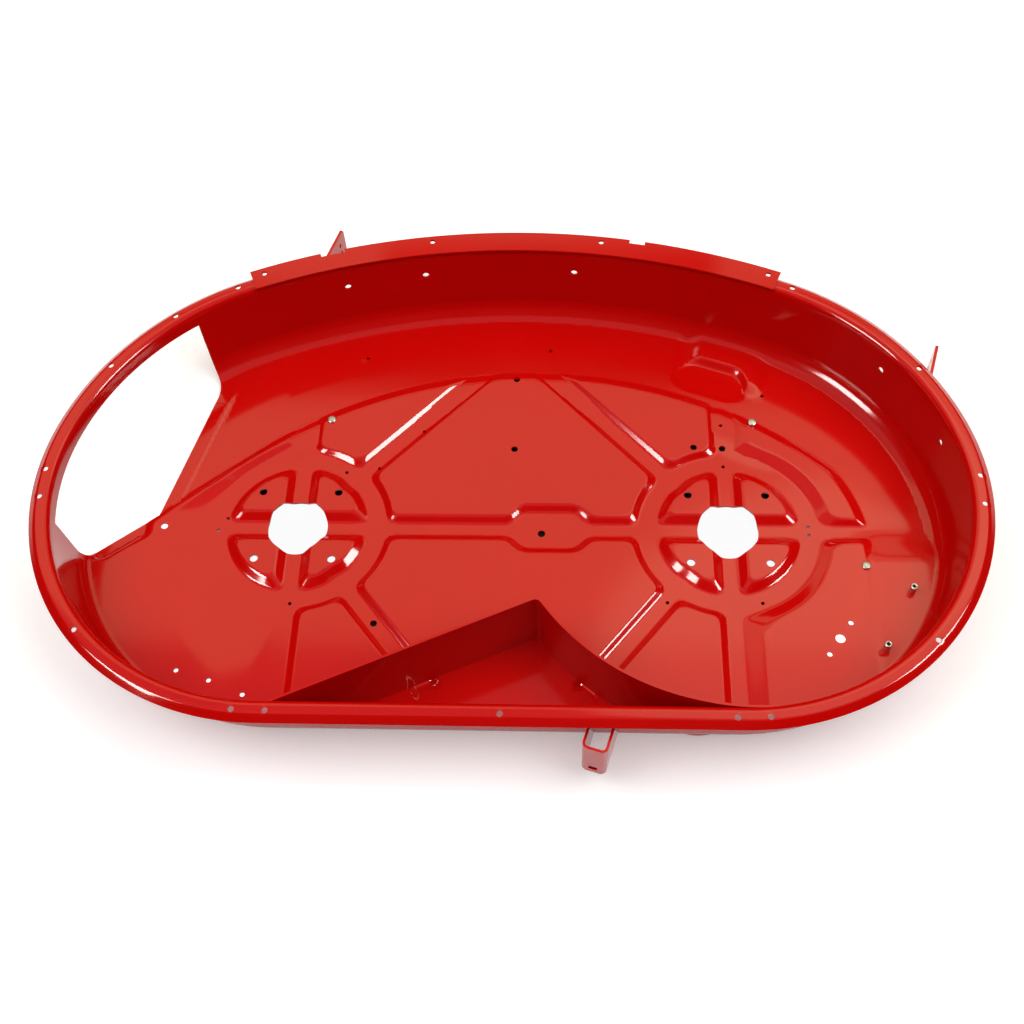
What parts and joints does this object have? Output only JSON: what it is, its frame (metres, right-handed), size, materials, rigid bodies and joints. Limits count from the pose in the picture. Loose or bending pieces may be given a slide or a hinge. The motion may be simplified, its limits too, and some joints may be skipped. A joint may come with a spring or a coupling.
{
  "type": "lawn mower deck",
  "caption": "Pressed steel deck of a twin-blade lawn mower, lying on its top with the mouth up, painted red.",
  "frame": {"origin": "midway between the two spindle centres, in the inner face of the plate", "axes": "+X from the discharge end to the closed end along the spindles, +Y towards the front edge, +Z out of the mouth"},
  "size_m": [1.1738, 0.7642, 0.1272],
  "materials": {
    "red_paint": "gloss",
    "zinc": "satin"
  },
  "bodies": {
    "root": {"deck_shell": "red_paint", "rear_baffle": "red_paint", "front_strip": "red_paint", "gauge_bracket_left": "red_paint", "gauge_bracket_right": "red_paint", "sway_bar_bracket": "red_paint", "plate_studs": "zinc", "tubular_rivets": "zinc"}
  },
  "joints": []
}
